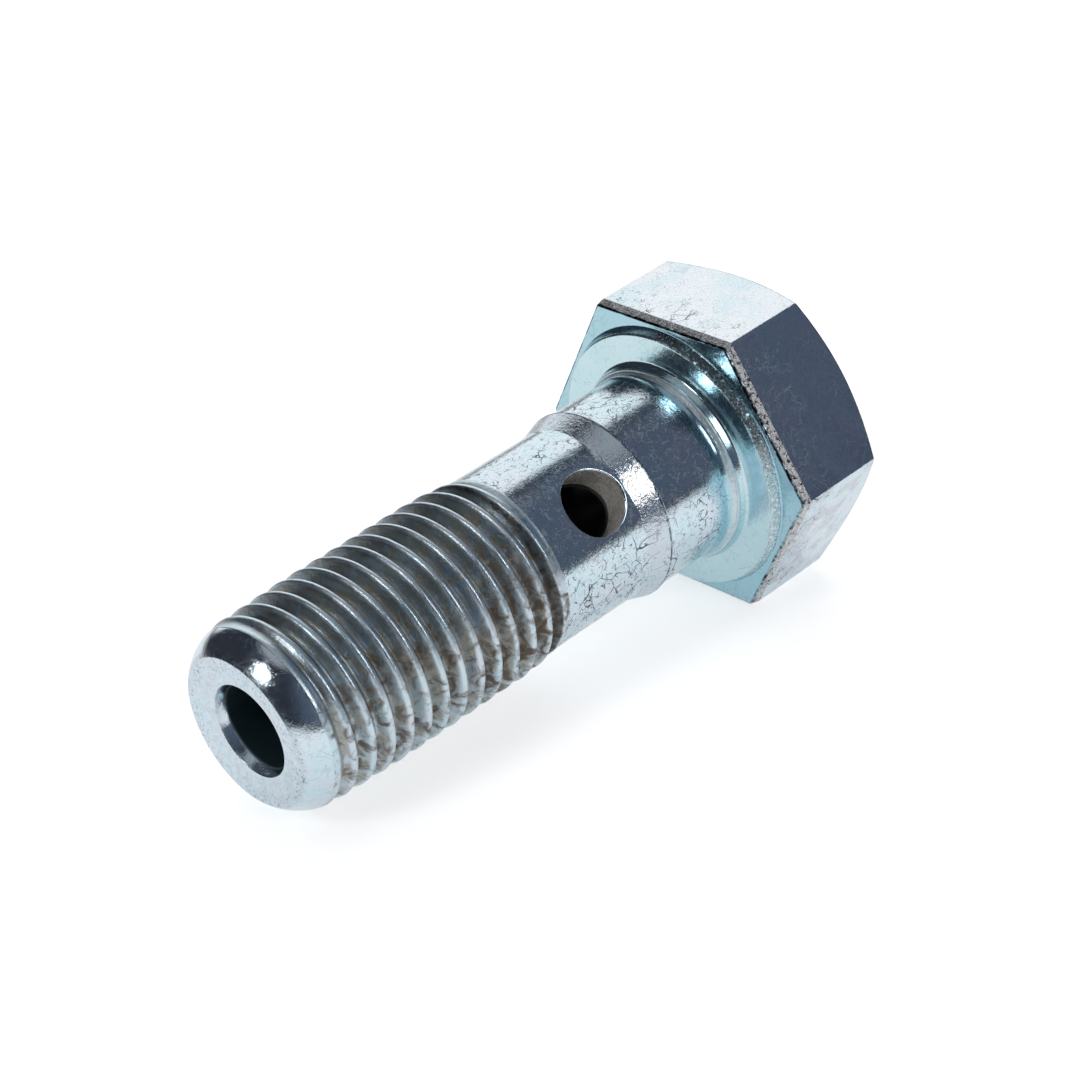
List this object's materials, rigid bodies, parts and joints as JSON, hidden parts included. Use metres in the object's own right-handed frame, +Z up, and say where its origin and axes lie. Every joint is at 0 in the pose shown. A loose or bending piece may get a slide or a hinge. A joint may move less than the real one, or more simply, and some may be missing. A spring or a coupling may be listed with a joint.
{
  "type": "banjo bolt",
  "caption": "Zinc-plated banjo bolt: hexagon head with washer boss, plain collar, threaded end with a rounded tip, blind flow bore and a cross hole.",
  "frame": {"origin": "centre of the bolt's bounding box, on the surface that the bolt lies on", "axes": "+Z up; +X from the tip to the head, along the bolt's longest side, with the axis raised 5.6 degrees towards the head because the head rests on a flat and the shank on the rounding of its tip; +Y completes the right-handed set, and a corner of the hexagon points each way along it"},
  "size_m": [0.0336, 0.0164, 0.0146],
  "materials": {
    "zinc_plate": "bright blue zinc plating over cold-headed steel, semi-gloss, with fine marks"
  },
  "bodies": {
    "root": {"banjo_bolt": "zinc_plate"}
  },
  "joints": []
}
